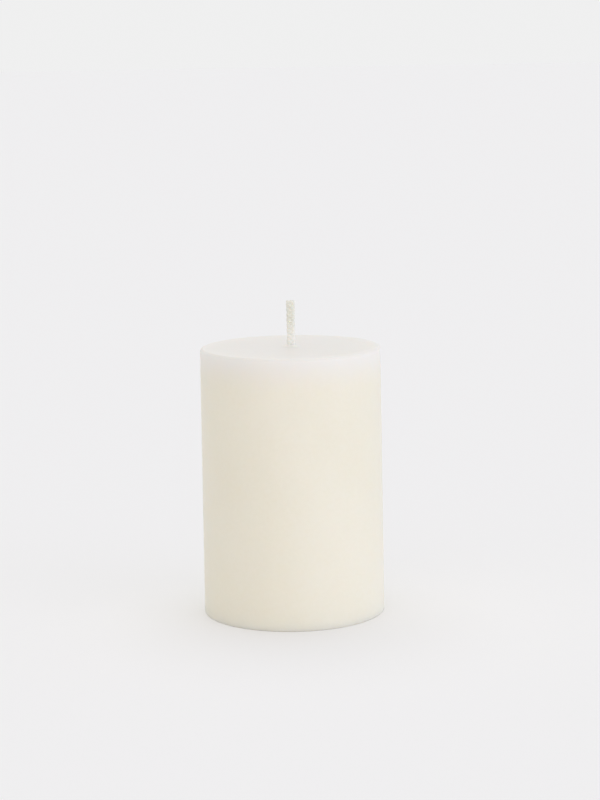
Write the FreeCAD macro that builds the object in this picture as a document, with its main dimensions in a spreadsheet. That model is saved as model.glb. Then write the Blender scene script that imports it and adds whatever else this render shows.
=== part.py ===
"""Pillar candle: a moulded wax pillar, the plaited cotton wick it is cast round, and the tinplate
sustainer that anchors the wick in the foot.

Millimetres, +Z up. The origin is the middle of the standing face, so Z is the candle's own axis, and
-Y is the side that faces the viewer. The mould gives the pillar a slight draft, wider at the foot.
"""

import FreeCAD, Part
import enum
import math
import os

import Sketcher


class SketchAxis(enum.IntEnum):
    """The numbers that a sketch constraint uses for the sketch's own axes."""

    ACROSS = -1
    UP = -2


# Point numbers that a sketch constraint uses on a line or an arc.
START, END, CENTRE = 1, 2, 3
ORIGIN = (SketchAxis.ACROSS, START)

# Every size that can be set by itself, in millimetres: alias, value, what it is.
SIZES = [
    ("BodyHeight", 102.0, "pillar, standing face to top face"),
    ("BaseDiameter", 69.2, "pillar at the foot, where the side's line meets the standing face"),
    ("TopDiameter", 68.3, "pillar at the top, where the side's line meets the top face"),
    ("BaseEdgeBevel", 0.9, "bevel between side and standing face, where the foot was melted level"),
    ("TopEdgeRadius", 1.2, "rounding between side and top face, from the mould"),
    ("CollarDiameter", 7.0, "wax that crept up the wick, where it leaves the top face"),
    ("CollarHeight", 1.0, "the same, above the top face"),
    ("HollowDepth", 1.5, "hollow in the foot, which hides the sustainer"),
    ("HollowMouthDiameter", 27.0, "the same, at the standing face"),
    ("HollowDraft", 1.0, "how much wider the hollow is at its mouth than at its ceiling, on each side"),
    ("WickWidth", 3.0, "wick, the wide way"),
    ("WickDepth", 2.4, "wick, the narrow way"),
    ("WickCorner", 0.75, "rounding of the wick's section"),
    ("WickExposed", 17.4, "wick above the top face"),
    ("WickTail", 0.5, "wick below the sustainer's disc"),
    ("WickShift", 0.4, "wick and sustainer, off the pillar's axis towards +X"),
    ("WickEndSpread", 0.15, "how far the loosened cut end stands out on each side"),
    ("WickEndLength", 5.0, "height over which the cut end loosens"),
    ("WickEndRadius", 0.3, "softened edge of the cut end"),
    ("StitchPitch", 2.0, "plait, from one stitch to the next along the wick"),
    ("StitchRelief", 0.28, "plait, crest of a stitch above the furrow beside it"),
    ("DiscDiameter", 18.0, "sustainer's disc"),
    ("SheetThickness", 0.3, "tinplate of the sustainer"),
    ("NeckHeight", 5.0, "sustainer's neck above its disc"),
    ("NeckRootBevel", 0.4, "drawn corner between disc and neck"),
]

# The plait has columns of slanted stitches: two on its front, two on its back and one on each edge.
# The slant is the part of a pitch that a stitch climbs from the middle of its column to its side.
STITCH_COLUMNS = 6
STITCH_SLANT = 0.3
# Its skin's poles: across one column, and along one stitch.
POLES_PER_COLUMN = 3
ROWS_PER_STITCH = 4
# The crests lie on a rounded rectangle, |x / half width|^power + |y / half depth|^power = 1.
SECTION_POWER = 3.4

# The collar's profile runs on to this share of WickDepth from the axis, inside the wick's hole, so
# that the collar ends in an edge all round the wick.
COLLAR_CREST = 0.4

# An edge counts as level if it rises less than this.
LEVEL = 1e-6


def make_sheet(doc):
    """The driving dimensions, one to a row. The alias is the cell's name in every expression."""
    sheet = doc.addObject("Spreadsheet::Sheet", "Sizes")
    for row, (alias, value, words) in enumerate(SIZES, start=1):
        sheet.set(f"A{row}", alias)
        sheet.set(f"B{row}", str(value))
        sheet.set(f"C{row}", words)
        sheet.setAlias(f"B{row}", alias)
    doc.recompute()
    return sheet


def new_body(doc, label):
    body = doc.addObject("PartDesign::Body", label)
    body.Label = label
    return body


def new_sketch(body, name, role, height=None):
    """A sketch on one of the body's own origin planes, lifted off it by the expression height.

    Each level sketch draws a section of the wick or of what holds it, so it is centred on the wick.
    """
    sketch = body.newObject("Sketcher::SketchObject", name)
    plane = next(feature for feature in body.Origin.OriginFeatures if feature.Role == role)
    sketch.AttachmentSupport = (plane, [""])
    sketch.MapMode = "FlatFace"
    if role == "XY_Plane":
        sketch.setExpression("AttachmentOffset.Base.x", "Sizes.WickShift")
    if height:
        sketch.setExpression("AttachmentOffset.Base.z", height)
    return sketch


def constrain(sketch, kind, *where):
    sketch.addConstraint(Sketcher.Constraint(kind, *where))


def dimension(sketch, name, kind, *where, expression):
    """A driving dimension: it is drawn at the size it will have, then bound to its expression."""
    size = value_of(sketch, expression)
    index = sketch.addConstraint(Sketcher.Constraint(kind, *where, size))
    sketch.renameConstraint(index, name)
    sketch.setExpression(f"Constraints.{name}", expression)


def value_of(holder, expression):
    """The number that an expression gives now, in millimetres."""
    result = holder.evalExpression(expression)
    return float(getattr(result, "Value", result))


def line(sketch, start, end):
    segment = Part.LineSegment(FreeCAD.Vector(*start, 0), FreeCAD.Vector(*end, 0))
    return sketch.addGeometry(segment)


def arc(sketch, centre, radius, start_deg, end_deg):
    circle = Part.Circle(FreeCAD.Vector(*centre, 0), FreeCAD.Vector(0, 0, 1), radius)
    curve = Part.ArcOfCircle(circle, math.radians(start_deg), math.radians(end_deg))
    return sketch.addGeometry(curve)


def corner_point(sketch, across, up):
    """A helper point, in no outline: where two faces would meet if their edge weren't rounded."""
    point = Part.Point(FreeCAD.Vector(across, up, 0))
    return sketch.addGeometry(point, True)


def draw_pillar_profile(sketch, sizes):
    """Half of the pillar's section: across is the distance from the axis and up is the height."""
    height, base, top = sizes.BodyHeight, sizes.BaseDiameter / 2, sizes.TopDiameter / 2
    base_bevel, top_round = sizes.BaseEdgeBevel, sizes.TopEdgeRadius
    ceiling, mouth = sizes.HollowDepth, sizes.HollowMouthDiameter / 2
    wall_top = mouth - sizes.HollowDraft
    collar, collar_top = sizes.CollarDiameter / 2, height + sizes.CollarHeight
    crest = sizes.WickDepth * COLLAR_CREST

    hollow_ceiling = line(sketch, (0, ceiling), (wall_top, ceiling))
    hollow_wall = line(sketch, (wall_top, ceiling), (mouth, 0))
    standing_face = line(sketch, (mouth, 0), (base - base_bevel, 0))
    base_edge = line(sketch, (base - base_bevel, 0), (base, base_bevel))
    side = line(sketch, (base, base_bevel), (top, height - top_round))
    top_edge = arc(sketch, (top - top_round, height - top_round), top_round, 0, 90)
    top_face = line(sketch, (top - top_round, height), (collar, height))
    collar_round = (collar - crest) ** 2 / (2 * sizes.CollarHeight) + sizes.CollarHeight / 2
    collar_sweep = math.degrees(math.asin((collar - crest) / collar_round))
    collar_face = arc(
        sketch, (collar, height + collar_round), collar_round, -90 - collar_sweep, -90
    )
    collar_crest = line(sketch, (crest, collar_top), (0, collar_top))
    axis = line(sketch, (0, collar_top), (0, ceiling))

    constrain(sketch, "PointOnObject", hollow_ceiling, START, SketchAxis.UP)
    constrain(sketch, "Horizontal", hollow_ceiling)
    constrain(sketch, "Coincident", hollow_ceiling, END, hollow_wall, START)
    constrain(sketch, "Coincident", hollow_wall, END, standing_face, START)
    constrain(sketch, "PointOnObject", standing_face, START, SketchAxis.ACROSS)
    constrain(sketch, "Horizontal", standing_face)
    constrain(sketch, "Coincident", standing_face, END, base_edge, START)
    constrain(sketch, "Coincident", base_edge, END, side, START)
    constrain(sketch, "Tangent", side, END, top_edge, START)
    constrain(sketch, "Tangent", top_edge, END, top_face, START)
    constrain(sketch, "Horizontal", top_face)
    constrain(sketch, "Tangent", top_face, END, collar_face, END)
    constrain(sketch, "Coincident", collar_face, START, collar_crest, START)
    constrain(sketch, "Horizontal", collar_crest)
    constrain(sketch, "PointOnObject", collar_crest, END, SketchAxis.UP)
    constrain(sketch, "Coincident", collar_crest, END, axis, START)
    constrain(sketch, "Coincident", axis, END, hollow_ceiling, START)

    base_corner = corner_point(sketch, base, 0)
    constrain(sketch, "PointOnObject", base_corner, START, SketchAxis.ACROSS)
    constrain(sketch, "PointOnObject", base_corner, START, side)
    top_corner = corner_point(sketch, top, height)
    constrain(sketch, "PointOnObject", top_corner, START, top_face)
    constrain(sketch, "PointOnObject", top_corner, START, side)

    from_axis = ("DistanceX", *ORIGIN)
    from_floor = ("DistanceY", *ORIGIN)
    dimension(sketch, "Foot", *from_axis, base_corner, START, expression="Sizes.BaseDiameter / 2")
    dimension(sketch, "Head", *from_axis, top_corner, START, expression="Sizes.TopDiameter / 2")
    dimension(sketch, "Height", *from_floor, top_face, START, expression="Sizes.BodyHeight")
    dimension(
        sketch, "BevelAcross", "DistanceX", base_edge, START, base_corner, START,
        expression="Sizes.BaseEdgeBevel",
    )
    dimension(sketch, "BevelUp", *from_floor, side, START, expression="Sizes.BaseEdgeBevel")
    dimension(sketch, "TopEdge", "Radius", top_edge, expression="Sizes.TopEdgeRadius")
    dimension(
        sketch, "Ceiling", *from_floor, hollow_ceiling, START, expression="Sizes.HollowDepth"
    )
    dimension(
        sketch, "Mouth", *from_axis, hollow_wall, END, expression="Sizes.HollowMouthDiameter / 2"
    )
    dimension(
        sketch, "WallDraft", "DistanceX", hollow_wall, START, hollow_wall, END,
        expression="Sizes.HollowDraft",
    )
    dimension(
        sketch, "CollarFoot", *from_axis, top_face, END, expression="Sizes.CollarDiameter / 2"
    )
    dimension(
        sketch, "CollarRise", "DistanceY", top_face, END, collar_crest, START,
        expression="Sizes.CollarHeight",
    )
    dimension(
        sketch, "CollarCrest", *from_axis, collar_crest, START,
        expression=f"Sizes.WickDepth * {COLLAR_CREST}",
    )


def draw_wick_section(sketch, margin="0"):
    """The wick's section, a rectangle with round corners, made larger all round by margin."""
    width, depth = f"Sizes.WickWidth + 2 * {margin}", f"Sizes.WickDepth + 2 * {margin}"
    corner = f"Sizes.WickCorner + {margin}"
    half_w, half_d = value_of(sketch, width) / 2, value_of(sketch, depth) / 2
    r = value_of(sketch, corner)
    inner_w, inner_d = half_w - r, half_d - r

    front = line(sketch, (-inner_w, -half_d), (inner_w, -half_d))
    right = line(sketch, (half_w, -inner_d), (half_w, inner_d))
    back = line(sketch, (inner_w, half_d), (-inner_w, half_d))
    left = line(sketch, (-half_w, inner_d), (-half_w, -inner_d))
    sides = [front, right, back, left]
    corners = [
        arc(sketch, (inner_w, -inner_d), r, -90, 0),
        arc(sketch, (inner_w, inner_d), r, 0, 90),
        arc(sketch, (-inner_w, inner_d), r, 90, 180),
        arc(sketch, (-inner_w, -inner_d), r, 180, 270),
    ]
    for n, corner_arc in enumerate(corners):
        constrain(sketch, "Tangent", sides[n], END, corner_arc, START)
        constrain(sketch, "Tangent", corner_arc, END, sides[(n + 1) % 4], START)
    for corner_arc in corners[1:]:
        constrain(sketch, "Equal", corners[0], corner_arc)
    constrain(sketch, "Horizontal", front)
    constrain(sketch, "Horizontal", back)
    constrain(sketch, "Vertical", right)
    constrain(sketch, "Vertical", left)
    constrain(sketch, "Symmetric", corners[0], CENTRE, corners[2], CENTRE, *ORIGIN)
    dimension(sketch, "Width", "DistanceX", left, START, right, END, expression=width)
    dimension(sketch, "Depth", "DistanceY", front, END, back, START, expression=depth)
    dimension(sketch, "Corner", "Radius", corners[0], expression=corner)


def revolve_about_axis(body, name, sketch):
    feature = body.newObject("PartDesign::Revolution", name)
    feature.Profile = sketch
    feature.ReferenceAxis = (sketch, ["V_Axis"])
    feature.Angle = 360
    return feature


def pad(body, name, sketch, length):
    feature = body.newObject("PartDesign::Pad", name)
    feature.Profile = sketch
    feature.setExpression("Length", length)
    return feature


def pocket(body, name, sketch, length):
    """A pocket that is cut upwards from its sketch."""
    feature = body.newObject("PartDesign::Pocket", name)
    feature.Profile = sketch
    feature.Reversed = True
    feature.setExpression("Length", length)
    return feature


def edges_at(shape, height, reach):
    """The names of the edges that lie in the plane at height, no further than reach from the axis."""
    names = []
    for number, edge in enumerate(shape.Edges, start=1):
        box = edge.BoundBox
        level = abs(box.ZMin - height) < LEVEL and abs(box.ZMax - height) < LEVEL
        if level and max(box.XMax, box.YMax, -box.XMin, -box.YMin) < reach:
            names.append(f"Edge{number}")
    return names


def bevel_neck_root(doc, body, name, base, sizes):
    """The drawn corner where the neck leaves the disc, on the tinplate or on the wax that fits it."""
    doc.recompute()
    reach = sizes.WickShift + sizes.WickWidth / 2 + 2 * sizes.SheetThickness
    feature = body.newObject("PartDesign::Chamfer", name)
    feature.Base = (base, edges_at(base.Shape, sizes.HollowDepth, reach))
    feature.setExpression("Size", "Sizes.NeckRootBevel")
    return feature


def make_wax_pillar(doc, sizes):
    """The wax, moulded in one piece round the wick and the sustainer's neck."""
    body = new_body(doc, "wax_pillar")

    profile = new_sketch(body, "PillarProfile", "XZ_Plane")
    draw_pillar_profile(profile, sizes)
    revolve_about_axis(body, "Moulding", profile)

    neck_section = new_sketch(body, "NeckSeatSection", "XY_Plane", "Sizes.HollowDepth")
    draw_wick_section(neck_section, "Sizes.SheetThickness")
    neck_seat = pocket(body, "NeckSeat", neck_section, "Sizes.NeckHeight")

    bevel_neck_root(doc, body, "NeckSeatMouth", neck_seat, sizes)

    wick_section = new_sketch(body, "WickHoleSection", "XY_Plane")
    draw_wick_section(wick_section)
    pocket(body, "WickHole", wick_section, "Sizes.BodyHeight + 2 * Sizes.CollarHeight")
    return body


def make_sustainer(doc, sizes):
    """The disc lies under the hollow's ceiling, and its drawn neck grips the wick."""
    body = new_body(doc, "wick_sustainer")
    underside = "Sizes.HollowDepth - Sizes.SheetThickness"

    disc_section = new_sketch(body, "DiscSection", "XY_Plane", underside)
    rim = disc_section.addGeometry(
        Part.Circle(FreeCAD.Vector(), FreeCAD.Vector(0, 0, 1), sizes.DiscDiameter / 2)
    )
    constrain(disc_section, "Coincident", rim, CENTRE, *ORIGIN)
    dimension(disc_section, "Rim", "Radius", rim, expression="Sizes.DiscDiameter / 2")
    pad(body, "Disc", disc_section, "Sizes.SheetThickness")

    neck_section = new_sketch(body, "NeckSection", "XY_Plane", underside)
    draw_wick_section(neck_section, "Sizes.SheetThickness")
    neck = pad(body, "Neck", neck_section, "Sizes.NeckHeight + Sizes.SheetThickness")

    bevel_neck_root(doc, body, "NeckRoot", neck, sizes)

    wick_section = new_sketch(body, "WickHoleSection", "XY_Plane", underside)
    draw_wick_section(wick_section)
    pocket(body, "WickHole", wick_section, "Sizes.NeckHeight + 2 * Sizes.SheetThickness")
    return body


def make_buried_wick(doc):
    """The wick from its tail to the collar. Wax fills the plait's furrows here, so its sides are plain."""
    body = new_body(doc, "BuriedWick")
    tail = "Sizes.HollowDepth - Sizes.SheetThickness - Sizes.WickTail"
    section = new_sketch(body, "WickSection", "XY_Plane", tail)
    draw_wick_section(section)
    pad(body, "Wick", section, f"Sizes.BodyHeight + Sizes.CollarHeight - ({tail})")
    return body


def smooth_step(share):
    """0 up to 0, 1 from 1 on, and a smooth rise between."""
    share = min(max(share, 0.0), 1.0)
    return share * share * (3 - 2 * share)


def stitch_height(column, across, stitches):
    """How far a stitch stands out of the furrows, from 0 to 1. across runs from -1 to 1 over a column."""
    slant = STITCH_SLANT if column % 2 else -STITCH_SLANT
    phase = stitches + slant * across + column % 2 / 2
    return (1 - across**2) * (0.5 + 0.5 * math.cos(2 * math.pi * phase))


def standing_wick_poles(sizes):
    """Rows of poles, each a turn round the plait, from where it leaves the wax up to the cut end."""
    foot = sizes.BodyHeight + sizes.CollarHeight
    length = sizes.WickExposed - sizes.CollarHeight
    rows = max(8, round(length / sizes.StitchPitch * ROWS_PER_STITCH))
    around = STITCH_COLUMNS * POLES_PER_COLUMN
    poles = []
    for row in range(rows + 1):
        above = length * row / rows
        spread = sizes.WickEndSpread * smooth_step(1 - (length - above) / sizes.WickEndLength)
        inset = sizes.WickEndRadius if row == rows else 0.0
        middle = FreeCAD.Vector(sizes.WickShift, 0, foot + above)
        relief = sizes.StitchRelief * smooth_step(above / sizes.StitchPitch)
        half_w = sizes.WickWidth / 2 + spread - inset
        half_d = sizes.WickDepth / 2 + spread - inset
        poles.append([])
        for step in range(around):
            column, part = divmod(step, POLES_PER_COLUMN)
            across = 2 * part / POLES_PER_COLUMN - 1
            angle = 2 * math.pi * step / around - math.pi / 2
            turned = FreeCAD.Vector(math.cos(angle), math.sin(angle), 0)
            reach = abs(turned.x / half_w) ** SECTION_POWER + abs(turned.y / half_d) ** SECTION_POWER
            crest = reach ** (-1 / SECTION_POWER)
            dip = relief * (1 - stitch_height(column, across, above / sizes.StitchPitch))
            poles[-1].append(middle + turned * (crest - dip))
    return poles


def plaited_solid(poles):
    """A closed solid with one smooth skin over the rows of poles and a flat face at each end."""
    degree = 3
    rows, around = len(poles), len(poles[0])
    columns = [[poles[row][step] for row in range(rows)] for step in range(around)]
    skin = Part.BSplineSurface()
    skin.buildFromPolesMultsKnots(
        columns,
        [1] * (around + 1),
        [degree + 1] + [1] * (rows - degree - 1) + [degree + 1],
        list(range(around + 1)),
        list(range(rows - degree + 1)),
        True,
        False,
        degree,
        degree,
    )
    side = skin.toShape()
    rims = [edge for edge in side.Edges if edge.BoundBox.ZLength < LEVEL]
    shell = Part.makeShell([side] + [Part.Face(Part.Wire(rim)) for rim in rims])
    shell.sewShape()
    solid = Part.makeSolid(shell)
    if solid.Volume < 0:
        solid.reverse()
    return solid


def make_wick(doc, sizes):
    """One plaited cotton wick, from its tail under the sustainer to its cut end."""
    standing = doc.addObject("Part::Feature", "StandingWick")
    standing.Shape = plaited_solid(standing_wick_poles(sizes))
    wick = doc.addObject("Part::Fuse", "wick")
    wick.Label = "wick"
    wick.Base = make_buried_wick(doc)
    wick.Tool = standing
    return wick


def check(doc, nodes):
    """Stops if a feature has failed or a piece isn't one sound solid."""
    for feature in doc.Objects:
        if {"Invalid", "Error"} & set(feature.State):
            raise RuntimeError(f"{feature.Name} failed: {feature.State}")
    for node in nodes:
        shape = node.Shape
        if shape.isNull() or not shape.isValid() or len(shape.Solids) != 1:
            raise RuntimeError(f"{node.Label} isn't one sound solid")


def main():
    doc = FreeCAD.newDocument("PillarCandle")
    sizes = make_sheet(doc)
    nodes = [make_wax_pillar(doc, sizes), make_wick(doc, sizes), make_sustainer(doc, sizes)]
    doc.recompute()
    check(doc, nodes)

    os.makedirs("parts", exist_ok=True)
    for node in nodes:
        node.Shape.exportStep(f"parts/{node.Label}.step")
        box = node.Shape.BoundBox
        print(f"{node.Label}: {node.Shape.Volume:.2f} mm3, z {box.ZMin:.3f} to {box.ZMax:.3f}")


main()
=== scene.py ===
"""Pillar candle: the looks of a moulded wax pillar with a plaited wick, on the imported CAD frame.

Metres, +Z up. The origin is the middle of the candle's foot, Z is its axis and -Y faces the viewer.
"""

# %% [markdown]
# The candle has three pieces: the wax, the wick that it was cast round, and a small tinplate
# sustainer that holds the wick in the foot. The CAD model gives their places and sizes. It is
# loaded first and never moved. Each piece made below takes its ends or its outer width from the
# box of the CAD node that it stands for.

# %% Load the frame
import math

import bmesh
import bpy
from mathutils import Euler, Matrix, Vector


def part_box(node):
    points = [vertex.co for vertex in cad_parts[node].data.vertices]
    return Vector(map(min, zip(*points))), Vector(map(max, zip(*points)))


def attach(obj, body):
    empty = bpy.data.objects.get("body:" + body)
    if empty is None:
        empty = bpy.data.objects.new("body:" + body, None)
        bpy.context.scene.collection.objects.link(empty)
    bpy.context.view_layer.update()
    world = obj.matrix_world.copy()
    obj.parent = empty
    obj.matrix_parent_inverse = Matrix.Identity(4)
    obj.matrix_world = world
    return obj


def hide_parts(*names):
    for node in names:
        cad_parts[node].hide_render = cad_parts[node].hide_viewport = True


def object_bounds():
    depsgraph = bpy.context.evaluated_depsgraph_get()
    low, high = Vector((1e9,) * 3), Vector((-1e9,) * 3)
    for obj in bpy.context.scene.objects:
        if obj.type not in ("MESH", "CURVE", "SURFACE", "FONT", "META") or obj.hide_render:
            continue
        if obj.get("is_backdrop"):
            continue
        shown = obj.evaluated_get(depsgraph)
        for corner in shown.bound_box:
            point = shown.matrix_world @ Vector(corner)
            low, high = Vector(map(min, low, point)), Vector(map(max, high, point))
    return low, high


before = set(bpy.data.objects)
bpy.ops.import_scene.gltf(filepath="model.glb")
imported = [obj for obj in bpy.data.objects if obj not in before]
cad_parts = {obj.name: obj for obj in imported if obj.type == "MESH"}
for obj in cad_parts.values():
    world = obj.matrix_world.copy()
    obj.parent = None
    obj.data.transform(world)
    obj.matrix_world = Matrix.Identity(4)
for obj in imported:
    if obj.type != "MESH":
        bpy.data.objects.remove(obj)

MM = 0.001
cad_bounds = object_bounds()
wax_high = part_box("wax_pillar")[1]
wick_low, wick_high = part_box("wick")
clip_low, clip_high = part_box("wick_sustainer")
print("CAD box in mm:", [[round(value / MM, 2) for value in corner] for corner in cad_bounds])

# %% [markdown]
# The camera comes first, because every later choice is judged through it. Its place was worked out
# from the candle's outline in the photograph: it looks down on the top face by about nine degrees
# and leans by about one. The outline doesn't settle how far away it is, since a camera further off
# with a longer lens sees nearly the same. It fits best from 0.65 to 0.8 m if the foot's edge is
# small, and 0.8 m was taken. The lens is given for a sensor of 36 mm along the picture's long side,
# which has 800 pixels.

# %% Place the camera
PICTURE_HEIGHT_PX = 800
SENSOR = 36.0
FOCAL_PX = 2132.0
CAMERA_PLACE = Vector((0, -800.0, 211.8)) * MM
CAMERA_PITCH = math.radians(9.260)
CAMERA_YAW = math.radians(0.243)
CAMERA_ROLL = math.radians(0.977)

bpy.ops.object.select_all(action="DESELECT")
level_view = Euler((math.pi / 2 - CAMERA_PITCH, 0, -CAMERA_YAW)).to_matrix()
leaning_view = level_view @ Matrix.Rotation(-CAMERA_ROLL, 3, "Z")
bpy.ops.object.camera_add(location=CAMERA_PLACE, rotation=leaning_view.to_euler())
camera = bpy.context.object
camera.name = "camera"
camera.data.sensor_width = SENSOR
camera.data.lens = FOCAL_PX * SENSOR / PICTURE_HEIGHT_PX
bpy.context.scene.camera = camera
print("Lens in mm:", round(camera.data.lens, 1))

# %% [markdown]
# Every piece here grows from one ring of edges. The ring is extruded again and again, and each new
# ring gets its size and height from the section of the real piece. Spin would make a turned shape
# in one step, but the wick isn't round, and the wax next to it isn't either. A ring that is
# extruded can start as the wick's section and end as the pillar's circle. The first ring is a plane
# with its corners bevelled round, whose long edges are then divided so that its points are about as
# close there as on the corners. The wick stands a little off the axis, so the ring starts there.

# %% Start a piece as a ring with the wick's section
WICK_WIDTH = 3.0 * MM
WICK_DEPTH = 2.4 * MM
WICK_CORNER = 0.75 * MM
WICK_SHIFT = 0.4 * MM
CORNER_STEPS = 20
FRONT_CUTS = 29
EDGE_CUTS = 17
RING_POINTS = 4 * CORNER_STEPS + 2 * (FRONT_CUTS + 1) + 2 * (EDGE_CUTS + 1)


def edit(piece):
    """Opens one piece in edit mode, with nothing else selected."""
    bpy.ops.object.select_all(action="DESELECT")
    piece.select_set(True)
    bpy.context.view_layer.objects.active = piece
    bpy.ops.object.mode_set(mode="EDIT")


def choose_edges(piece, test):
    """Selects, in edit mode, just the edges whose two ends pass the test."""
    bpy.ops.mesh.select_mode(type="EDGE")
    bpy.ops.mesh.select_all(action="DESELECT")
    mesh = bmesh.from_edit_mesh(piece.data)
    for edge in mesh.edges:
        edge.select_set(test(edge.verts[0].co, edge.verts[1].co))
    bmesh.update_edit_mesh(piece.data)


def chosen_points(piece):
    mesh = bmesh.from_edit_mesh(piece.data)
    return [point.co.copy() for point in mesh.verts if point.select]


def start_ring(name, height, scale=1.0):
    """A new piece, open in edit mode, that is one ring of edges with the wick's section."""
    bpy.ops.mesh.primitive_plane_add(size=1, location=(WICK_SHIFT * scale, 0, height))
    piece = bpy.context.object
    piece.name = name
    piece.scale = (WICK_WIDTH * scale, WICK_DEPTH * scale, 1)
    bpy.ops.object.transform_apply(location=True, rotation=False, scale=True)
    edit(piece)
    bpy.ops.mesh.select_all(action="SELECT")
    bpy.ops.mesh.bevel(offset=WICK_CORNER * scale, segments=CORNER_STEPS, affect="VERTICES")
    bpy.ops.mesh.select_all(action="SELECT")
    bpy.ops.mesh.delete(type="ONLY_FACE")
    longest = min(WICK_WIDTH, WICK_DEPTH) * scale / 4
    choose_edges(piece, lambda a, b: abs(a.x - b.x) > longest)
    bpy.ops.mesh.subdivide(number_cuts=FRONT_CUTS)
    choose_edges(piece, lambda a, b: abs(a.y - b.y) > longest)
    bpy.ops.mesh.subdivide(number_cuts=EDGE_CUTS)
    bpy.ops.mesh.select_all(action="SELECT")
    return piece


def grow(piece, half_width, half_depth, height, rounder=0.0, shift=0.0):
    """Extrudes the selected ring, then gives the new ring its half width, half depth and height."""
    bpy.ops.mesh.extrude_region_move()
    if rounder:
        bpy.ops.transform.tosphere(value=rounder)
    points = chosen_points(piece)
    across = [point.x for point in points]
    along = [point.y for point in points]
    middle = Vector(((max(across) + min(across)) / 2, (max(along) + min(along)) / 2, points[0].z))
    stretch = (
        2 * half_width / (max(across) - min(across)),
        2 * half_depth / (max(along) - min(along)),
        1,
    )
    bpy.ops.transform.resize(value=stretch, center_override=middle)
    bpy.ops.transform.translate(value=Vector((shift, 0, height)) - middle)


print("Points in a ring:", RING_POINTS)

# %% [markdown]
# The wax is one moulded piece. Its section is followed from the wick outwards: down the collar that
# crept up the wick, out over the top face, round the rim, down the drafted side, round the foot's
# edge, in over the standing face, up into the hollow, and up the seat of the sustainer's neck. Both
# ends are closed with a face. The wax was cast round the wick and nobody sees in between, so it is
# left solid there, which keeps the mesh plain. Wax shrinks as it sets, most in the middle, so the
# top face is dished by a fraction of a millimetre.

# %% Lay out the collar and the top face
COLLAR_RADIUS = 3.5 * MM
COLLAR_RISE = 1.0 * MM
COLLAR_CREST = 0.96 * MM
COLLAR_RINGS = 9
COLLAR_ROUNDING = 0.35
TOP_RIM = 1.2 * MM
TOP_RADIUS = 34.15 * MM
TOP_RINGS = 26
TOP_DISH = 0.12 * MM
TOP_LEVEL = 102.0 * MM


def collar_height(radius):
    """The collar is a concave arc that leaves the top face level and steepens towards the wick."""
    bend = (COLLAR_RADIUS - COLLAR_CREST) ** 2 / (2 * COLLAR_RISE) + COLLAR_RISE / 2
    return TOP_LEVEL + bend - math.sqrt(bend**2 - (COLLAR_RADIUS - radius) ** 2)


def dish_depth(radius):
    """The sag of the top face: full at the collar, none at the rim."""
    share = (radius - COLLAR_RADIUS) / (TOP_RADIUS - TOP_RIM - COLLAR_RADIUS)
    return TOP_DISH * (0.5 + 0.5 * math.cos(math.pi * min(max(share, 0), 1)))


wax = start_ring("moulded_wax", collar_height(WICK_DEPTH / 2))
bpy.ops.mesh.edge_face_add()
bpy.ops.mesh.select_mode(type="EDGE")
for step in range(1, COLLAR_RINGS + 1):
    share = step / COLLAR_RINGS
    half_width = WICK_WIDTH / 2 + share * (COLLAR_RADIUS - WICK_WIDTH / 2)
    half_depth = WICK_DEPTH / 2 + share * (COLLAR_RADIUS - WICK_DEPTH / 2)
    height = collar_height((half_width + half_depth) / 2) - TOP_DISH * share
    rounder = 1.0 if step == COLLAR_RINGS else COLLAR_ROUNDING
    grow(wax, half_width, half_depth, height, rounder, shift=WICK_SHIFT * (1 - share))
flat_reach = TOP_RADIUS - TOP_RIM
for step in range(1, TOP_RINGS + 1):
    radius = COLLAR_RADIUS + (flat_reach - COLLAR_RADIUS) * step / TOP_RINGS
    grow(wax, radius, radius, TOP_LEVEL - dish_depth(radius))
print("Top face reaches", round(radius / MM, 2), "mm from the axis")

# %% [markdown]
# The rim and the foot's edge are quarter circles, so their rings are set by an angle. The side is
# straight, and 0.9 mm wider across the foot than across the rim, as a pillar has to slide out of
# its mould. That is what the outline gives for a camera at 0.8 m, and one further off would make it
# less. Rings at even steps down the side keep its faces nearly square, which the drift below needs.
# The hollow in the foot, where the sustainer sits clear of the table, is a guess.

# %% Carry the ring round the rim, down the side and into the foot
BASE_RADIUS = wax_high.x
FOOT_EDGE = 0.35 * MM
RIM_STEPS = 10
SIDE_RINGS = 60
FOOT_STEPS = 4
STANDING_RINGS = 8
NECK_HEIGHT = 5.0 * MM
HOLLOW_DEPTH = clip_high.z - NECK_HEIGHT
HOLLOW_MOUTH = 13.5 * MM
HOLLOW_CEILING = 12.5 * MM
CEILING_RINGS = 8
CEILING_END = 4.0 * MM
SHEET = HOLLOW_DEPTH - clip_low.z
NECK_BEVEL = 0.4 * MM


def side_radius(height):
    """The mould's draft: the side is a straight line from the foot to the rim."""
    return BASE_RADIUS + (TOP_RADIUS - BASE_RADIUS) * height / TOP_LEVEL


for step in range(1, RIM_STEPS + 1):
    turn = math.pi / 2 * step / RIM_STEPS
    radius = flat_reach + TOP_RIM * math.sin(turn)
    grow(wax, radius, radius, TOP_LEVEL - TOP_RIM * (1 - math.cos(turn)))
side_length = TOP_LEVEL - TOP_RIM - FOOT_EDGE
for step in range(1, SIDE_RINGS + 1):
    height = TOP_LEVEL - TOP_RIM - side_length * step / SIDE_RINGS
    grow(wax, side_radius(height), side_radius(height), height)
for step in range(1, FOOT_STEPS + 1):
    turn = math.pi / 2 * step / FOOT_STEPS
    radius = side_radius(FOOT_EDGE) - FOOT_EDGE * (1 - math.cos(turn))
    grow(wax, radius, radius, FOOT_EDGE * (1 - math.sin(turn)))
for step in range(1, STANDING_RINGS + 1):
    inwards = (HOLLOW_MOUTH - BASE_RADIUS + FOOT_EDGE) * step / STANDING_RINGS
    radius = BASE_RADIUS - FOOT_EDGE + inwards
    grow(wax, radius, radius, 0)
grow(wax, HOLLOW_CEILING, HOLLOW_CEILING, HOLLOW_DEPTH)
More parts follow.
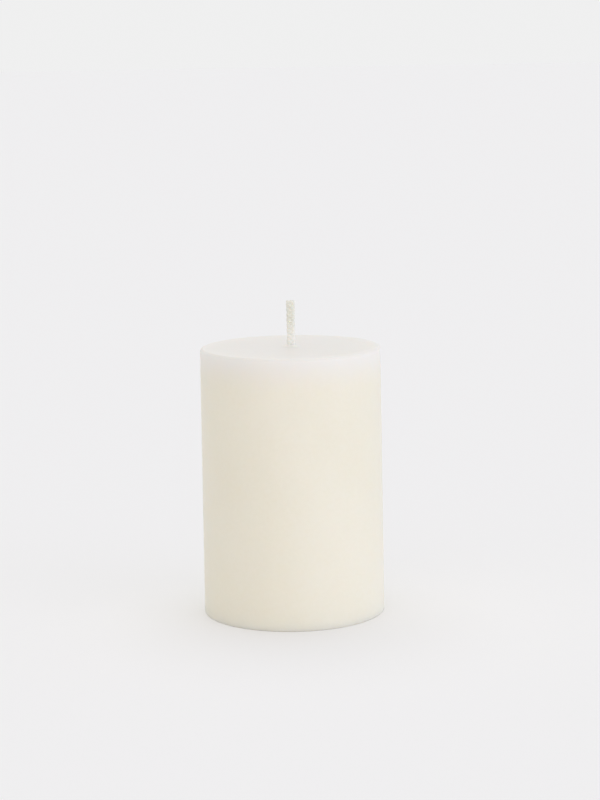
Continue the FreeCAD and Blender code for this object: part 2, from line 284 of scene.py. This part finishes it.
for step in range(1, CEILING_RINGS + 1):
    reach = HOLLOW_CEILING + (CEILING_END - HOLLOW_CEILING) * step / CEILING_RINGS
    grow(wax, reach, reach, HOLLOW_DEPTH)
seat_width = WICK_WIDTH / 2 + SHEET
seat_depth = WICK_DEPTH / 2 + SHEET
grow(wax, seat_width + NECK_BEVEL, seat_depth + NECK_BEVEL, HOLLOW_DEPTH, shift=WICK_SHIFT)
grow(wax, seat_width, seat_depth, HOLLOW_DEPTH + NECK_BEVEL, shift=WICK_SHIFT)
grow(wax, seat_width, seat_depth, clip_high.z, shift=WICK_SHIFT)


def leave_edit(piece):
    """Turns all faces outwards and goes back to object mode."""
    bpy.ops.mesh.select_all(action="SELECT")
    bpy.ops.mesh.normals_make_consistent(inside=False)
    bpy.ops.object.mode_set(mode="OBJECT")


def report(piece):
    """Prints a piece's faces, its size, and how many of its edges don't have two faces."""
    mesh = bmesh.new()
    mesh.from_mesh(piece.data)
    loose = sum(1 for edge in mesh.edges if len(edge.link_faces) != 2)
    volume = mesh.calc_volume(signed=True) / MM**3
    mesh.free()
    size = [round(value / MM, 2) for value in piece.dimensions]
    faces = len(piece.data.polygons)
    print(f"{piece.name}: {faces} faces, {size} mm, {loose} loose, {volume:.1f} mm3")


leave_edit(wax)
report(wax)

# %% [markdown]
# Wax that cooled in a mould isn't a perfect cone. A Displace modifier with soft cloud noise moves
# the surface by a few hundredths of a millimetre, which is only seen as a slow drift in the sheen.
# The foot stays level, because it was melted flat: a vertex group keeps the noise off it.

# %% Let the side drift a little
DRIFT = 0.10 * MM
DRIFT_SCALE = 26 * MM
STILL_BELOW = 4 * MM
FULL_ABOVE = 20 * MM
SHARP_FROM = math.radians(40)


def level_group(piece, name, low, high):
    """A vertex group that grows from 0 at the height low to 1 at the height high."""
    group = piece.vertex_groups.new(name=name)
    for point in piece.data.vertices:
        share = min(max((point.co.z - low) / (high - low), 0), 1)
        if share:
            group.add([point.index], share, "REPLACE")


level_group(wax, "above_foot", STILL_BELOW, FULL_ABOVE)
drift_noise = bpy.data.textures.new("drift_noise", "CLOUDS")
drift_noise.noise_scale = DRIFT_SCALE
drift_noise.noise_depth = 1
drift = wax.modifiers.new("drift", "DISPLACE")
drift.texture = drift_noise
drift.texture_coords = "LOCAL"
drift.strength = DRIFT
drift.mid_level = 0.5
drift.vertex_group = "above_foot"
bpy.context.view_layer.objects.active = wax
bpy.ops.object.modifier_apply(modifier="drift")
wax.vertex_groups.clear()
bpy.ops.object.select_all(action="DESELECT")
wax.select_set(True)
bpy.ops.object.shade_smooth_by_angle(angle=SHARP_FROM)
report(wax)

# %% [markdown]
# The wick is plaited cotton: six columns of slanted stitches round a core, two on the front, two on
# the back and one on each edge. Neighbouring columns slant opposite ways and are half a stitch
# apart, which gives the chevrons of a plait. One stitch is modelled and copied into every place.
# It is a plump lens of yarn, sunk in the core, and a little wider than the space between two rows,
# so that a stitch presses on the next one. The plait is made at ten times its size, because the
# remesh that welds it later can't be finer than a tenth of a millimetre. The photograph is too
# coarse to show stitches, so the pattern is a guess from other wicks of this width.

# %% Grow the core of the standing wick
PLAIT_SCALE = 10.0
BIG = MM * PLAIT_SCALE
RELIEF = 0.30
COLLAR_TOP = 103.0
EXPOSED = wick_high.z / MM - COLLAR_TOP
END_SPREAD = 0.15
END_LENGTH = 5.0
UNDER_COLLAR = 3.0
CORE_RINGS = 60


def ease(share):
    """0 up to 0, 1 from 1 on, and a smooth rise between."""
    share = min(max(share, 0.0), 1.0)
    return share * share * (3 - 2 * share)


def wick_spread(above):
    """How far the cut end has loosened on each side, in millimetres."""
    return END_SPREAD * ease(1 - (EXPOSED - above) / END_LENGTH)


core = start_ring("wick_core", (COLLAR_TOP - UNDER_COLLAR) * BIG, PLAIT_SCALE)
bpy.ops.mesh.edge_face_add()
bpy.ops.mesh.select_mode(type="EDGE")
for step in range(1, CORE_RINGS + 1):
    above = -UNDER_COLLAR + (EXPOSED + 1 + UNDER_COLLAR) * step / CORE_RINGS
    inner = wick_spread(above) - RELIEF
    grow(
        core,
        (WICK_WIDTH / MM / 2 + inner) * BIG,
        (WICK_DEPTH / MM / 2 + inner) * BIG,
        (COLLAR_TOP + above) * BIG,
        shift=WICK_SHIFT * PLAIT_SCALE,
    )
leave_edit(core)
report(core)

# %% [markdown]
# The stitch starts as a sphere, squeezed to the length, thickness and width of a turn of yarn. Each
# copy is put on the wick's skin, which is a rounded rectangle, and a formula for that curve gives
# both the point and the way that the skin faces there. The copy is turned to face out, then tilted
# one way or the other by its column. A copied stitch keeps every column alike, as a machine does.

# %% Model one stitch and copy it into the plait
COLUMNS = 6
PITCH = 2.0
STITCH_LENGTH = 2.35
STITCH_WIDTH = 1.60
STITCH_THICKNESS = 1.1
STITCH_TILT = math.radians(42)
SECTION_POWER = 3.4
YARN_SEGMENTS = 20
YARN_RINGS = 14

bpy.ops.object.select_all(action="DESELECT")
bpy.ops.mesh.primitive_uv_sphere_add(
    segments=YARN_SEGMENTS, ring_count=YARN_RINGS, radius=0.5 * BIG
)
stitch = bpy.context.object
stitch.name = "stitch"
edit(stitch)
bpy.ops.mesh.select_all(action="SELECT")
bpy.ops.transform.resize(
    value=(STITCH_LENGTH, STITCH_THICKNESS, STITCH_WIDTH), center_override=(0, 0, 0)
)
bpy.ops.object.mode_set(mode="OBJECT")


def crest(angle, spread):
    """The point of the wick's section in that direction, and the direction the skin faces there."""
    half_w = WICK_WIDTH / MM / 2 + spread
    half_d = WICK_DEPTH / MM / 2 + spread
    x, y = math.cos(angle), math.sin(angle)
    nearness = abs(x / half_w) ** SECTION_POWER + abs(y / half_d) ** SECTION_POWER
    reach = nearness ** (-1 / SECTION_POWER)
    point = Vector((x * reach, y * reach, 0))
    rise = SECTION_POWER - 1
    outward = Vector((
        math.copysign(abs(point.x) ** rise / half_w**SECTION_POWER, x),
        math.copysign(abs(point.y) ** rise / half_d**SECTION_POWER, y),
        0,
    ))
    return point, outward.normalized()


stitches = []
for column in range(COLUMNS):
    angle = math.radians(360 / COLUMNS * (column - 1))
    tilt = -STITCH_TILT if column % 2 == 0 else STITCH_TILT
    for row in range(-1, round(EXPOSED / PITCH) + 2):
        above = PITCH * (row + column % 2 / 2)
        point, outward = crest(angle, wick_spread(above))
        sunk = point - outward * STITCH_THICKNESS / 2
        place = sunk + Vector((WICK_SHIFT / MM, 0, COLLAR_TOP + above))
        facing = Matrix.Rotation(math.atan2(outward.x, -outward.y), 4, "Z")
        one = stitch.copy()
        one.data = stitch.data.copy()
        leaning = Matrix.Rotation(tilt, 4, "Y")
        one.matrix_world = Matrix.Translation(place * BIG) @ facing @ leaning
        bpy.context.collection.objects.link(one)
        stitches.append(one)
bpy.data.objects.remove(stitch)
print("Stitches:", len(stitches))

# %% [markdown]
# A primed wick has been drawn through hot wax, which fills the furrows and rounds the yarn. A voxel
# remesh welds the core and the stitches into one skin, and a Smooth modifier then softens the
# furrows as the wax does. The plane that cuts the wick to length comes after that, so that the cut
# stays crisp. A second cut ends the plait just under the collar.

# %% Weld, soften and trim the wick
VOXEL = 0.065 * BIG
WAX_FILL = 0.5
WAX_FILL_STEPS = 12
CUT_BEVEL = 0.10
CUT_SHARP_FROM = math.radians(50)
PLAIT_SUNK = 1.0
BAR_SUNK = 0.6

bpy.ops.object.select_all(action="DESELECT")
for one in stitches:
    one.select_set(True)
core.select_set(True)
bpy.context.view_layer.objects.active = core
bpy.ops.object.join()
wick = bpy.context.object
wick.name = "plaited_wick"
bpy.ops.object.transform_apply(location=True, rotation=True, scale=True)
weld = wick.modifiers.new("weld", "REMESH")
weld.mode = "VOXEL"
weld.voxel_size = VOXEL
bpy.ops.object.modifier_apply(modifier="weld")
soften = wick.modifiers.new("soften", "SMOOTH")
soften.factor = WAX_FILL
soften.iterations = WAX_FILL_STEPS
bpy.ops.object.modifier_apply(modifier="soften")

cut_level = (COLLAR_TOP + EXPOSED) * BIG
edit(wick)
bpy.ops.mesh.select_all(action="SELECT")
bpy.ops.mesh.bisect(
    plane_co=(0, 0, cut_level - CUT_BEVEL * BIG),
    plane_no=(0, 0, 1),
    use_fill=True,
    clear_outer=True,
)
bpy.ops.mesh.select_mode(type="FACE")
bpy.ops.mesh.inset(thickness=CUT_BEVEL * BIG, depth=CUT_BEVEL * BIG)
bpy.ops.mesh.select_all(action="SELECT")
bpy.ops.mesh.bisect(
    plane_co=(0, 0, (COLLAR_TOP - PLAIT_SUNK) * BIG),
    plane_no=(0, 0, 1),
    use_fill=True,
    clear_inner=True,
)
bpy.ops.mesh.select_all(action="SELECT")
bpy.ops.transform.resize(value=(1 / PLAIT_SCALE,) * 3, center_override=(0, 0, 0))
leave_edit(wick)
report(wick)

# %% [markdown]
# The length that is buried in the wax, and gripped by the sustainer's neck, has its furrows full of
# wax. It is a plain bar with the wick's section, down to the tail that stands out under the
# sustainer. It reaches a little way up into the plait, inside the collar, where nothing shows.

# %% Add the buried length
buried = start_ring("buried_wick", wick_low.z)
bpy.ops.mesh.edge_face_add()
bpy.ops.mesh.select_mode(type="EDGE")
grow(buried, WICK_WIDTH / 2, WICK_DEPTH / 2, (COLLAR_TOP - BAR_SUNK) * MM, shift=WICK_SHIFT)
leave_edit(buried)
wick.select_set(True)
bpy.context.view_layer.objects.active = wick
bpy.ops.object.join()
bpy.ops.object.shade_smooth_by_angle(angle=CUT_SHARP_FROM)
report(wick)

# %% [markdown]
# The photograph can't show the sustainer, so it is made as such candles have it: a disc stamped
# from thin tinplate, with a neck drawn up out of its middle that grips the wick. It grows from a
# ring as well, but here the last ring is joined to the first, since the wick passes through the
# neck. So the sheet has its full thickness all over. A shallow ring is pressed into the disc to
# stiffen it, and its outer edge is rounded.

# %% Grow the sustainer
DISC_RADIUS = (clip_high.x - clip_low.x) / 2
RIBS = ((7.2, 0.0), (6.6, 0.12), (6.2, 0.25), (5.8, 0.12), (5.2, 0.0))
ROUND_FROM = 4.4 * MM
FLAT_END = 4.0 * MM
CURVE_STEPS = 4
under = clip_low.z
upper = HOLLOW_DEPTH
clip = start_ring("tinplate_sustainer", under)
hole = (WICK_WIDTH / 2, WICK_DEPTH / 2)


def grow_clip(half_width, half_depth, height, rounder=0.0):
    grow(clip, half_width, half_depth, height, rounder, shift=WICK_SHIFT)


def join_ends():
    """Joins the first and the last ring, so that the band closes on itself."""
    bpy.ops.mesh.select_all(action="DESELECT")
    bpy.ops.mesh.select_non_manifold(use_wire=False, use_multi_face=False, use_non_contiguous=False)
    bpy.ops.mesh.bridge_edge_loops()


grow_clip(hole[0] + SHEET, hole[1] + SHEET, under)
for share in (0.2, 0.5, 0.8):
    span = ROUND_FROM - hole[0] - SHEET
    grow_clip(hole[0] + SHEET + span * share, hole[1] + SHEET + span * share, under, rounder=0.5)
grow_clip(ROUND_FROM, ROUND_FROM, under, rounder=1.0)
for reach, drop in reversed(RIBS):
    grow_clip(reach * MM, reach * MM, under - drop * MM)
edge_round = SHEET / 2
for step in range(CURVE_STEPS + 1):
    turn = math.pi * (step / CURVE_STEPS - 0.5)
    reach = DISC_RADIUS - edge_round + edge_round * math.cos(turn)
    grow_clip(reach, reach, under + edge_round + edge_round * math.sin(turn))
for reach, drop in RIBS:
    grow_clip(reach * MM, reach * MM, upper - drop * MM)
grow_clip(FLAT_END, FLAT_END, upper)
neck = (hole[0] + SHEET, hole[1] + SHEET)
for step in range(CURVE_STEPS + 1):
    turn = math.pi / 2 * step / CURVE_STEPS
    flare = NECK_BEVEL * (1 - math.sin(turn))
    rise = NECK_BEVEL * (1 - math.cos(turn))
    grow_clip(neck[0] + flare, neck[1] + flare, upper + rise)
grow_clip(*neck, clip_high.z)
grow_clip(*hole, clip_high.z)
join_ends()
leave_edit(clip)
bpy.ops.object.shade_smooth_by_angle(angle=SHARP_FROM)
report(clip)

# %% [markdown]
# Wax is a translucent solid: light goes in, spreads a few millimetres, red the furthest, and comes
# out again. A Principled shader with subsurface scattering does that, so edges glow and shadows
# stay soft. Only half of the light takes that path, or the foot would go dark where the standing
# face lets none in. In the photograph the side gets less yellow towards the rim, and the top face
# is the least yellow, as light glows through the rim and the top face has a sheen. That glow and
# sheen are painted light here: a less yellow colour that grows with height. The slow clouds and
# the fine mottle are too faint to be seen in it, and are a guess. Two more changes aren't things
# that it shows, but make up for the lamps used here. The collar round the wick is painted light, a
# paler colour, or the wick's foot would come out too dark, and the rim's edge is painted shade, a
# little darker, or a light line would run round it. That edge lies where a point is both far from
# the axis and high up. All of it is worked out from Object coordinates, so it is fixed in the wax.

# %% Finish the wax
WAX_PALE = (0.880, 0.840, 0.718, 1)
WAX_DEEP = (0.860, 0.818, 0.686, 1)
# Painted light: a less yellow colour near the top stands in for the glow through the rim and the
# sheen on the top face.
WAX_PAINTED_GLOW = (0.855, 0.832, 0.788, 1)
RIM_FADE = (88 * MM, 102 * MM)
# Painted shade: the rim's edge is painted a little darker, to cancel a light line that the lamps
# leave round it.
WAX_EDGE_PAINTED_SHADE = (0.818, 0.793, 0.742, 1)
EDGE_REACH = (32.9 * MM, 33.5 * MM)
EDGE_RISE = (100.7 * MM, 101.5 * MM)
# Painted light: the collar round the wick is painted paler, to lift the shade where the wick's
# stitches meet it.
WAX_COLLAR_PAINTED_LIGHT = (0.960, 0.940, 0.865, 1)
COLLAR_PAINTED_LIGHT_RISE = (101.9 * MM, 102.45 * MM)
WAX_GLOW = 0.5
WAX_REACH = (1.0, 0.85, 0.70)
WAX_REACH_LENGTH = 8 * MM
WAX_IOR = 1.44
WAX_ROUGHNESS = (0.38, 0.46)
CLOUD_SCALE = 38
MOTTLE_SCALE = 620
MOTTLE_SHARE = 0.22
BLOOM_SCALE = 210
BLOOM_SHARE = 1.5
GRAIN_SCALE = 1500
GRAIN_HEIGHT = 0.012 * MM
NOISE_MIDDLE = (0.3, 0.7)


def new_material(name):
    """A material with only a Principled shader and an output."""
    material = bpy.data.materials.new(name)
    material.use_nodes = True
    nodes = material.node_tree.nodes
    return material, nodes, material.node_tree.links, nodes["Principled BSDF"]


def object_noise(nodes, links, scale, detail, stretch=(1, 1, 1)):
    """Noise on Object coordinates. The scale counts features to a metre; stretch squeezes them."""
    place = nodes.new("ShaderNodeTexCoord")
    turn = nodes.new("ShaderNodeMapping")
    turn.inputs["Scale"].default_value = stretch
    noise = nodes.new("ShaderNodeTexNoise")
    noise.inputs["Scale"].default_value = scale
    noise.inputs["Detail"].default_value = detail
    links.new(place.outputs["Object"], turn.inputs["Vector"])
    links.new(turn.outputs["Vector"], noise.inputs["Vector"])
    return noise.outputs["Fac"]


def spread_out(nodes, links, value, low, high):
    """Maps the middle of a noise, where nearly all of it lies, to the range from low to high."""
    remap = nodes.new("ShaderNodeMapRange")
    remap.inputs["From Min"].default_value, remap.inputs["From Max"].default_value = NOISE_MIDDLE
    remap.inputs["To Min"].default_value = low
    remap.inputs["To Max"].default_value = high
    links.new(value, remap.inputs["Value"])
    return remap.outputs["Result"]


def two_tones(nodes, links, factor, first, second):
    """Blends from the first colour to the second. The first may also be the output of a node."""
    mix = nodes.new("ShaderNodeMix")
    mix.data_type = "RGBA"
    if isinstance(first, bpy.types.NodeSocket):
        links.new(first, mix.inputs["A"])
    else:
        mix.inputs["A"].default_value = first
    mix.inputs["B"].default_value = second
    links.new(factor, mix.inputs["Factor"])
    return mix.outputs["Result"]


def by_distance(nodes, links, along, start, end):
    """A smooth change from 0 at the distance start to 1 at end, counted on the axes that are 1."""
    place = nodes.new("ShaderNodeTexCoord")
    kept = nodes.new("ShaderNodeVectorMath")
    kept.operation = "MULTIPLY"
    kept.inputs[1].default_value = along
    length = nodes.new("ShaderNodeVectorMath")
    length.operation = "LENGTH"
    rise = nodes.new("ShaderNodeMapRange")
    rise.interpolation_type = "SMOOTHSTEP"
    rise.inputs["From Min"].default_value = start
    rise.inputs["From Max"].default_value = end
    links.new(place.outputs["Object"], kept.inputs[0])
    links.new(kept.outputs["Vector"], length.inputs[0])
    links.new(length.outputs["Value"], rise.inputs["Value"])
    return rise.outputs["Result"]


def by_height(nodes, links, start, end):
    return by_distance(nodes, links, (0, 0, 1), start, end)


def from_axis(nodes, links, start, end):
    return by_distance(nodes, links, (1, 1, 0), start, end)


def where_both(nodes, links, first, second):
    """1 only where both are 1."""
    product = nodes.new("ShaderNodeMath")
    product.operation = "MULTIPLY"
    links.new(first, product.inputs[0])
    links.new(second, product.inputs[1])
    return product.outputs["Value"]


def summed(nodes, links, first, second, second_share):
    """first plus a share of second."""
    total = nodes.new("ShaderNodeMath")
    total.operation = "MULTIPLY_ADD"
    total.inputs[1].default_value = second_share
    links.new(second, total.inputs[0])
    links.new(first, total.inputs[2])
    return total.outputs["Value"]


def add_bump(nodes, links, shader, height, distance):
    bump = nodes.new("ShaderNodeBump")
    bump.inputs["Distance"].default_value = distance
    links.new(height, bump.inputs["Height"])
    links.new(bump.outputs["Normal"], shader.inputs["Normal"])


wax_finish, nodes, links, shader = new_material("ivory_wax")
clouds = object_noise(nodes, links, CLOUD_SCALE, 2, (1, 1, 0.6))
mottle = object_noise(nodes, links, MOTTLE_SCALE, 3)
tone = summed(nodes, links, clouds, spread_out(nodes, links, mottle, -0.5, 0.5), MOTTLE_SHARE)
body = two_tones(nodes, links, spread_out(nodes, links, tone, 0, 1), WAX_DEEP, WAX_PALE)
# Painted light: from RIM_FADE upwards the wax takes the less yellow colour of the glow and the
# sheen.
upper_wax = two_tones(nodes, links, by_height(nodes, links, *RIM_FADE), body, WAX_PAINTED_GLOW)
# Painted shade on the rim's edge, where a point is both far from the axis and high up.
far_out = from_axis(nodes, links, *EDGE_REACH)
high_up = by_height(nodes, links, *EDGE_RISE)
edged_wax = two_tones(nodes, links, where_both(nodes, links, far_out, high_up), upper_wax, WAX_EDGE_PAINTED_SHADE)
# Painted light on the collar, paler towards the wick.
links.new(
    two_tones(nodes, links, by_height(nodes, links, *COLLAR_PAINTED_LIGHT_RISE), edged_wax, WAX_COLLAR_PAINTED_LIGHT),
    shader.inputs["Base Color"],
)
bloom = object_noise(nodes, links, BLOOM_SCALE, 4)
links.new(spread_out(nodes, links, bloom, *WAX_ROUGHNESS), shader.inputs["Roughness"])
grain = summed(nodes, links, object_noise(nodes, links, GRAIN_SCALE, 2), bloom, BLOOM_SHARE)
add_bump(nodes, links, shader, grain, GRAIN_HEIGHT)
shader.inputs["IOR"].default_value = WAX_IOR
shader.inputs["Subsurface Weight"].default_value = WAX_GLOW
shader.inputs["Subsurface Radius"].default_value = WAX_REACH
shader.inputs["Subsurface Scale"].default_value = WAX_REACH_LENGTH
wax.data.materials.append(wax_finish)
print("Nodes in the wax:", len(nodes))

# %% [markdown]
# In the photograph the wick is greyer than the side of the wax, and it gets paler towards its foot,
# as if the melt had soaked it there: over the lowest ten millimetres the cotton fades into a paler
# tone. Fine fibres run with the yarn, so a noise that is drawn out along the wick gives their bump
# and a slight change of tone. The yarn was primed with wax, so it has a soft sheen and lets a
# little light through. The photograph is too coarse to show either.

# %% Finish the wick
COTTON_PALE = (0.815, 0.812, 0.732, 1)
COTTON_DEEP = (0.775, 0.768, 0.682, 1)
COTTON_WAXED = (0.890, 0.880, 0.822, 1)
WAXED_FADE = (113 * MM, 104 * MM)
YARN_ROUGHNESS = (0.45, 0.65)
YARN_GLOW = 0.5
YARN_REACH = (1.0, 0.9, 0.8)
YARN_REACH_LENGTH = 1.5 * MM
FIBRE_SCALE = 9000
FIBRE_SHARE = 0.5
FIBRE_HEIGHT = 0.03 * MM
PATCH_SCALE = 700

cotton_finish, nodes, links, shader = new_material("primed_cotton")
fibre = object_noise(nodes, links, FIBRE_SCALE, 3, (1, 1, 0.16))
patch = object_noise(nodes, links, PATCH_SCALE, 2)
tone = spread_out(nodes, links, summed(nodes, links, patch, fibre, FIBRE_SHARE), -0.5, 0.5)
yarn = two_tones(nodes, links, tone, COTTON_DEEP, COTTON_PALE)
links.new(
    two_tones(nodes, links, by_height(nodes, links, *WAXED_FADE), yarn, COTTON_WAXED),
    shader.inputs["Base Color"],
)
links.new(spread_out(nodes, links, patch, *YARN_ROUGHNESS), shader.inputs["Roughness"])
add_bump(nodes, links, shader, fibre, FIBRE_HEIGHT)
shader.inputs["IOR"].default_value = WAX_IOR
shader.inputs["Subsurface Weight"].default_value = YARN_GLOW
shader.inputs["Subsurface Radius"].default_value = YARN_REACH
shader.inputs["Subsurface Scale"].default_value = YARN_REACH_LENGTH
wick.data.materials.append(cotton_finish)
print("Nodes in the cotton:", len(nodes))

# %% [markdown]
# Tinplate is bright rolled steel with a skin of tin. Rolling leaves faint straight lines, and tin
# dulls in soft patches, so the roughness takes one noise drawn out along a single direction and
# another that isn't.

# %% Finish the sustainer
TIN_BRIGHT = (0.74, 0.74, 0.73, 1)
TIN_DULL = (0.58, 0.58, 0.57, 1)
TIN_ROUGHNESS = (0.18, 0.34)
ROLLING_SCALE = 2600
ROLLING_SHARE = 0.5
ROLLING_HEIGHT = 0.004 * MM
DULLING_SCALE = 160

tin_finish, nodes, links, shader = new_material("rolled_tinplate")
rolling = object_noise(nodes, links, ROLLING_SCALE, 2, (0.03, 1, 1))
dulling = object_noise(nodes, links, DULLING_SCALE, 3)
links.new(
    two_tones(nodes, links, spread_out(nodes, links, dulling, 0, 1), TIN_BRIGHT, TIN_DULL),
    shader.inputs["Base Color"],
)
tone = summed(nodes, links, dulling, rolling, ROLLING_SHARE)
links.new(spread_out(nodes, links, tone, *TIN_ROUGHNESS), shader.inputs["Roughness"])
add_bump(nodes, links, shader, rolling, ROLLING_HEIGHT)
shader.inputs["Metallic"].default_value = 1.0
clip.data.materials.append(tin_finish)
print("Nodes in the tinplate:", len(nodes))

# %% [markdown]
# Each new piece now takes the place of its CAD node, and moves with the candle's one body. The CAD
# nodes stay as they are for the contact model, and are only hidden here.

# %% Put the pieces in the frame
for piece, node, slot in (
    (wax, "wax_pillar", "wax"),
    (wick, "wick", "waxed_cotton"),
    (clip, "wick_sustainer", "tinplate"),
):
    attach(piece, "root")
    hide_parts(node)
    print(piece.name, "stands for", node)

# %% [markdown]
# The candle stands on a plain pale floor in a pale room. The room's light is even, as from white
# walls all round. Three broad lamps add to it. Their strengths and colours were fitted to the tones
# of the photograph, so the real lamps may have been others. A soft box at the right is as cool as
# daylight, since the wax looks less yellow there. A warm, wide fill from the front lifts the rest.
# A top light a little behind the candle lays the soft, close shadow round the foot. The other two
# cast no shadow, as the picture shows only that one. They make no highlight either, or parts of the
# top face would turn white when it is seen from behind. Real lamps would do both. What the camera
# sees of the room is as pale as the lit floor, so that the two meet without a line.

# %% Build the floor, the room and the lamps
FLOOR_SIZE = 60.0
FLOOR_TONE = (0.942, 0.942, 0.942, 1)
ROOM_TONE = (0.868, 0.868, 0.868, 1)
ROOM_LIGHT = 0.65
WHITE = (1, 1, 1)
COOL = (0.68, 0.77, 1.0)
WARM = (1.0, 0.835, 0.815)

bpy.ops.mesh.primitive_plane_add(size=FLOOR_SIZE, location=(0, 0, 0))
floor = bpy.context.object
floor.name = "floor"
floor_finish, nodes, links, shader = new_material("pale_floor")
shader.inputs["Base Color"].default_value = FLOOR_TONE
shader.inputs["Roughness"].default_value = 1.0
shader.inputs["Specular IOR Level"].default_value = 0.0
floor.data.materials.append(floor_finish)
floor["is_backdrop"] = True

world = bpy.data.worlds.new("pale_room")
bpy.context.scene.world = world
world.use_nodes = True
nodes, links = world.node_tree.nodes, world.node_tree.links
lit = nodes["Background"]
lit.inputs["Color"].default_value = (1, 1, 1, 1)
lit.inputs["Strength"].default_value = ROOM_LIGHT
seen = nodes.new("ShaderNodeBackground")
seen.inputs["Color"].default_value = ROOM_TONE
ray = nodes.new("ShaderNodeLightPath")
either = nodes.new("ShaderNodeMath")
either.operation = "MAXIMUM"
links.new(ray.outputs["Is Camera Ray"], either.inputs[0])
links.new(ray.outputs["Is Glossy Ray"], either.inputs[1])
both = nodes.new("ShaderNodeMath")
both.operation = "MAXIMUM"
links.new(either.outputs["Value"], both.inputs[0])
links.new(ray.outputs["Is Transmission Ray"], both.inputs[1])
choice = nodes.new("ShaderNodeMixShader")
links.new(both.outputs["Value"], choice.inputs["Fac"])
links.new(lit.outputs["Background"], choice.inputs[1])
links.new(seen.outputs["Background"], choice.inputs[2])
links.new(choice.outputs["Shader"], nodes["World Output"].inputs["Surface"])


def soft_lamp(name, strength, colour, side, height, width):
    """A distant lamp as wide as a soft box: side and height are where it stands, in degrees."""
    towards = Euler((math.pi / 2 - math.radians(height), 0, math.radians(side)))
    bpy.ops.object.light_add(type="SUN", rotation=towards)
    lamp = bpy.context.object
    lamp.name = name
    lamp.data.energy = strength
    lamp.data.color = colour
    lamp.data.angle = math.radians(width)
    return lamp


key = soft_lamp("soft_box", strength=0.715, colour=COOL, side=56, height=10, width=50)
fill = soft_lamp("front_fill", strength=0.456, colour=WARM, side=12, height=18, width=120)
top = soft_lamp("top_light", strength=0.57, colour=WHITE, side=188, height=75, width=50)
for lamp in (key, fill):
    lamp.visible_glossy = False
    lamp.data.use_shadow = False
bpy.context.scene.view_settings.view_transform = "Standard"
print("Room light", ROOM_LIGHT, "and lamps", [lamp.data.energy for lamp in (key, fill, top)])

# %% [markdown]
# The last step sets the finished model's box beside the CAD box and prints both.

# %% Print the two boxes
visual_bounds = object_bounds()
sizes = {
    "cad": [list(corner) for corner in cad_bounds],
    "visual": [list(corner) for corner in visual_bounds],
}
for name, corners in sizes.items():
    print(name, [[round(value / MM, 2) for value in corner] for corner in corners])
